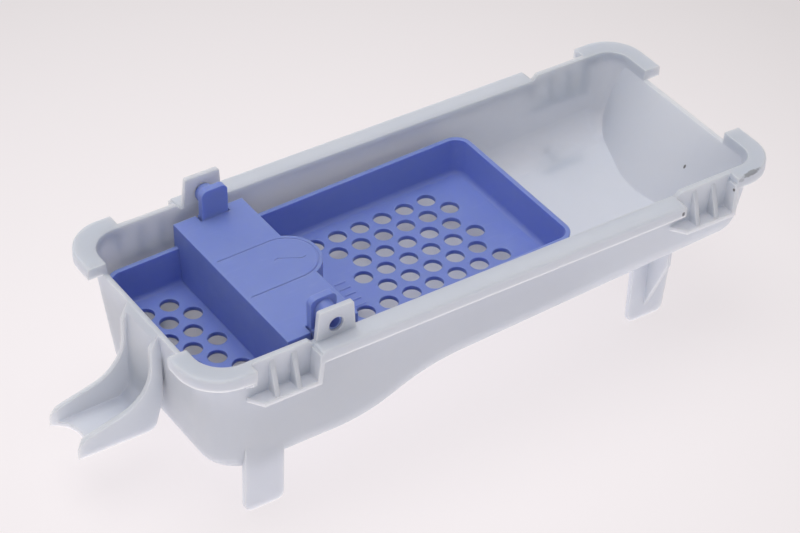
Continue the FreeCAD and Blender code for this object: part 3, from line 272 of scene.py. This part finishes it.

# %% [markdown]
# ## The table under it
# The photograph was taken on a bright white sheet: the ground is warm and near white, a little greyer
# towards the corners of the picture, with hardly a shadow. To the camera the sheet is mostly its plain
# colour, through Light Path, and partly real shading, so a faint shadow stays. To every other ray it is a
# sheet that glows: light from below is what makes the outer walls and the thin, milky floor of the trough so
# pale in the photograph. The sheet itself is a large square just under the feet.

# %% Colour and glow of the sheet, with a painted pool of light
# Painted pool of light: the sheet is painted brighter round the drawer and greyer further out, a painted
# falloff.
LIGHT_POOL_CENTRE = (-0.06, -0.02, 0.0)
LIGHT_POOL_RADIUS = 0.38
LIGHT_POOL_FALLOFF = 2.0
PAINTED_LIT_TONE, PAINTED_DIM_TONE = "#FBF5F7", "#E0DBDC"
PLAIN_SHARE_OTHERS, PLAIN_SHARE_CAMERA = 0.7, 0.75
GLOW_OTHERS, GLOW_CAMERA = 1.5, 1.0
card, tree, place = new_material("white_card")
rays = add(tree, "ShaderNodeLightPath", {}).outputs
glossy_too = add(tree, "ShaderNodeMath", {0: rays["Is Camera Ray"], 1: rays["Is Glossy Ray"]},
                 operation="MAXIMUM")
through_too = add(tree, "ShaderNodeMath", {0: glossy_too.outputs["Value"], 1: rays["Is Transmission Ray"]},
                  operation="MAXIMUM")
looking = through_too.outputs["Value"]
share = add(tree, "ShaderNodeMapRange", {"Value": looking, "To Min": PLAIN_SHARE_OTHERS,
                                         "To Max": PLAIN_SHARE_CAMERA})
glow = add(tree, "ShaderNodeMapRange", {"Value": looking, "To Min": GLOW_OTHERS, "To Max": GLOW_CAMERA})
away = add(tree, "ShaderNodeVectorMath", {0: place, 1: LIGHT_POOL_CENTRE}, operation="DISTANCE")
part = add(tree, "ShaderNodeMapRange", {"Value": away.outputs["Value"], "From Max": LIGHT_POOL_RADIUS})
light_falloff = add(tree, "ShaderNodeMath", {0: part.outputs["Result"], 1: LIGHT_POOL_FALLOFF}, operation="POWER")
painted_light_pool = add(tree, "ShaderNodeMix", {MIX_SHARE: light_falloff.outputs["Value"], MIX_FIRST: linear(PAINTED_LIT_TONE),
                                   MIX_SECOND: linear(PAINTED_DIM_TONE)}, data_type="RGBA")
shaded = add(tree, "ShaderNodeBsdfDiffuse", {"Color": painted_light_pool.outputs[MIX_RESULT]})
plain = add(tree, "ShaderNodeEmission", {"Color": painted_light_pool.outputs[MIX_RESULT],
                                         "Strength": glow.outputs["Result"]})
seen = add(tree, "ShaderNodeMixShader", {0: share.outputs["Result"], 1: shaded.outputs["BSDF"],
                                         2: plain.outputs["Emission"]})
add(tree, "ShaderNodeOutputMaterial", {"Surface": seen.outputs["Shader"]})
print("sheet:", card.name, "with", len(tree.nodes), "nodes")

# %% Floor
FLOOR_HALF = 6.0
FLOOR_GAP_MM = 0.2
sheet_mesh = bpy.data.meshes.new("table_sheet")
corners = [(x * FLOOR_HALF, y * FLOOR_HALF, 0) for x, y in ((-1, -1), (1, -1), (1, 1), (-1, 1))]
sheet_mesh.from_pydata(corners, [], [(0, 1, 2, 3)])
table_sheet = bpy.data.objects.new("table_sheet", sheet_mesh)
table_sheet.location.z = cad_low.z - FLOOR_GAP_MM * MM
bpy.context.scene.collection.objects.link(table_sheet)
sheet_mesh.materials.append(card)
print("floor at z =", round(table_sheet.location.z / MM, 2), "mm")

# %% [markdown]
# ## Light
# A tent gives light from every side, so the world is a soft white and does most of the work. It is brighter
# behind the drawer than on the camera's side, because faces turned to the camera are the darker ones in the
# photograph. Two soft boxes shape the forms: a broad one overhead for the tops of rim and bridge, and a small
# one beside the camera, which makes the little highlights in the corners of the tray. All are weak enough
# that a colour renders about as it is written.

# %% Tent
TENT_WHITE = "#FFFCFB"
TENT_HIGH = 0.8
LEVEL_LOW, LEVEL_HIGH = 0.47, 0.42
FRONT_SHARE, BEHIND_SHARE = 0.6, 1.35
world = bpy.data.worlds.new("light_tent")
bpy.context.scene.world = world
world.use_nodes = True
tree = world.node_tree
tree.nodes.clear()
way = add(tree, "ShaderNodeTexCoord", {}).outputs["Generated"]
split = add(tree, "ShaderNodeSeparateXYZ", {"Vector": way})
level = add(tree, "ShaderNodeMapRange", {"Value": split.outputs["Z"], "From Min": 0.0, "From Max": TENT_HIGH,
                                         "To Min": LEVEL_LOW, "To Max": LEVEL_HIGH})
behind = add(tree, "ShaderNodeMapRange", {"Value": split.outputs["Y"], "From Min": -1.0, "From Max": 1.0,
                                          "To Min": FRONT_SHARE, "To Max": BEHIND_SHARE})
both = add(tree, "ShaderNodeMath", {0: level.outputs["Result"], 1: behind.outputs["Result"]},
           operation="MULTIPLY")
tent = add(tree, "ShaderNodeBackground", {"Color": linear(TENT_WHITE), "Strength": both.outputs["Value"]})
add(tree, "ShaderNodeOutputWorld", {"Surface": tent.outputs["Background"]})
print("tent:", world.name, "with", len(tree.nodes), "nodes")

# %% Soft boxes
SOFT_BOX_AIM = Vector((0.0, 0.0, 0.04))
SOFT_BOXES = [
    # name, place in m, side in m, watts
    ("overhead_box", (-0.1, 0.2, 1.3), 1.0, 8.2),
    ("camera_box", (-0.55, -1.0, 0.35), 0.3, 1.0),
]
for name, spot, side, watts in SOFT_BOXES:
    lamp = bpy.data.lights.new(name, "AREA")
    lamp.shape = "SQUARE"
    lamp.size = side
    lamp.energy = watts
    box = bpy.data.objects.new(name, lamp)
    box.location = spot
    box.rotation_euler = (SOFT_BOX_AIM - Vector(spot)).to_track_quat("-Z", "Y").to_euler()
    bpy.context.scene.collection.objects.link(box)
    print(name, watts, "W")

# %% [markdown]
# ## Camera
# The camera was worked out from known points of the drawer and their places in the photograph: its place, the
# way it looks, a roll of a couple of degrees and its lens. It is built from those angles, so that a reader
# can change one and see what it does.

# %% Camera at the photograph's view
PICTURE_WIDTH_PX = 800
FOCAL_PX = 2709.35
AZIMUTH_DEG, ELEVATION_DEG, ROLL_DEG = -35.490, 38.231, 2.436
CAMERA_PLACE = (-0.46780, -0.65796, 0.68190)
camera = bpy.data.cameras.new("photo_camera")
camera.sensor_width = 36.0
camera.lens = FOCAL_PX / PICTURE_WIDTH_PX * camera.sensor_width
camera.clip_start = 0.05
camera.clip_end = 40.0
azimuth, elevation, roll = (math.radians(v) for v in (AZIMUTH_DEG, ELEVATION_DEG, ROLL_DEG))
level_way = Vector((math.sin(azimuth), -math.cos(azimuth), 0))
back = level_way * math.cos(elevation) + Vector((0, 0, math.sin(elevation)))
sideways = Vector((0, 0, 1)).cross(back).normalized()
above = back.cross(sideways)
right = sideways * math.cos(roll) + above * math.sin(roll)
up = above * math.cos(roll) - sideways * math.sin(roll)
viewer = bpy.data.objects.new("photo_camera", camera)
viewer.matrix_world = Matrix((right, up, back)).transposed().to_4x4()
viewer.location = CAMERA_PLACE
bpy.context.scene.collection.objects.link(viewer)
bpy.context.scene.camera = viewer
bpy.context.scene.view_settings.view_transform = "Standard"
print("lens", round(camera.lens, 2), "mm")
